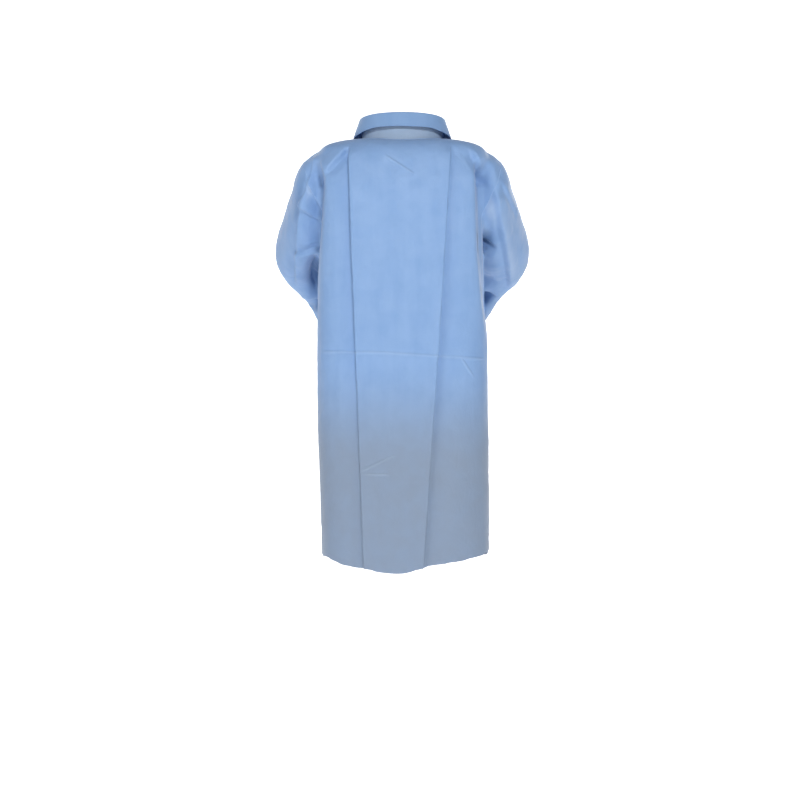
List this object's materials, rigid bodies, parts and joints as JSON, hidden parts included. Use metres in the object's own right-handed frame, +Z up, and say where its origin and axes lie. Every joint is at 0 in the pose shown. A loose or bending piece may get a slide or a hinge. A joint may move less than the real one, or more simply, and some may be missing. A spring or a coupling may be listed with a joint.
{
  "type": "lab coat",
  "caption": "Knee-length disposable non-woven lab coat in its worn shape, with folded collar, long sleeves, snap front and patch pockets.",
  "frame": {"origin": "middle of the neck opening, level with the neck seam at the centre back, where the wearer's neck and shoulders hold the coat", "axes": "+Z up, +X to the wearer's left, the front closure faces -Y"},
  "size_m": [0.5394, 0.5836, 0.9825],
  "materials": {
    "body_cloth": "matt, papery, slightly see-through non-woven",
    "sleeve_cloth": "matt, papery, slightly see-through non-woven",
    "collar_cloth": "matt, papery non-woven, several layers",
    "pocket_cloth": "matt, papery non-woven",
    "elastic": "matt woven elastic",
    "label": "plain blank woven label",
    "snap_plastic": "moulded",
    "snap_metal": "plated"
  },
  "bodies": {
    "torso": {"back_panel": "body_cloth", "left_front_side": "body_cloth", "right_front_side": "body_cloth", "collar_stand": "collar_cloth", "collar_leaf": "collar_cloth", "neck_label": "label"},
    "left_front_flap": {"left_front": "body_cloth", "left_facing": "body_cloth", "chest_pocket": "pocket_cloth", "left_hip_pocket": "pocket_cloth", "snap_caps": "snap_plastic", "snap_sockets": "snap_metal"},
    "right_front_flap": {"right_front": "body_cloth", "right_facing": "body_cloth", "right_hip_pocket": "pocket_cloth", "snap_studs": "snap_metal", "snap_posts": "snap_plastic"},
    "left_sleeve": {"left_upper_sleeve": "sleeve_cloth"},
    "right_sleeve": {"right_upper_sleeve": "sleeve_cloth"},
    "left_forearm": {"left_forearm_sleeve": "sleeve_cloth", "left_cuff": "sleeve_cloth", "left_cuff_elastic": "elastic"},
    "right_forearm": {"right_forearm_sleeve": "sleeve_cloth", "right_cuff": "sleeve_cloth", "right_cuff_elastic": "elastic"},
    "left_wing": {"left_collar_wing": "collar_cloth"},
    "right_wing": {"right_collar_wing": "collar_cloth"}
  },
  "joints": [
    {"name": "left_front_open", "type": "hinge", "parent": "torso", "child": "left_front_flap", "pos_m": [0.15, -0.128, -0.11], "axis": [0, 0.0368, 0.9993], "range_deg": [0, 40]},
    {"name": "right_front_open", "type": "hinge", "parent": "torso", "child": "right_front_flap", "pos_m": [-0.15, -0.128, -0.11], "axis": [0, -0.0368, -0.9993], "range_deg": [0, 28.5]},
    {"name": "left_sleeve_raise", "type": "hinge", "parent": "torso", "child": "left_sleeve", "pos_m": [0.128, 0, -0.008], "axis": [0, -1, 0], "range_deg": [0, 35]},
    {"name": "left_elbow_straighten", "type": "hinge", "parent": "left_sleeve", "child": "left_forearm", "pos_m": [0.27194, -0.17074, -0.28418], "axis": [0.4497, -0.6547, 0.6075], "range_deg": [-7, 40]},
    {"name": "left_collar_turn_up", "type": "hinge", "parent": "torso", "child": "left_wing", "pos_m": [0.08743, -0.00988, 0.04625], "axis": [-0.6055, -0.786, -0.1245], "range_deg": [0, 110]},
    {"name": "right_sleeve_raise", "type": "hinge", "parent": "torso", "child": "right_sleeve", "pos_m": [-0.128, 0, -0.008], "axis": [0, 1, 0], "range_deg": [0, 35]},
    {"name": "right_elbow_straighten", "type": "hinge", "parent": "right_sleeve", "child": "right_forearm", "pos_m": [-0.27194, -0.17074, -0.28418], "axis": [0.4497, 0.6547, -0.6075], "range_deg": [-7, 40]},
    {"name": "right_collar_turn_up", "type": "hinge", "parent": "torso", "child": "right_wing", "pos_m": [-0.08743, -0.00988, 0.04625], "axis": [-0.6055, 0.786, 0.1245], "range_deg": [0, 110]}
  ],
  "couplings": [
    {"joint": "right_front_open", "follows": "left_front_open", "ratio": 0.7}
  ]
}
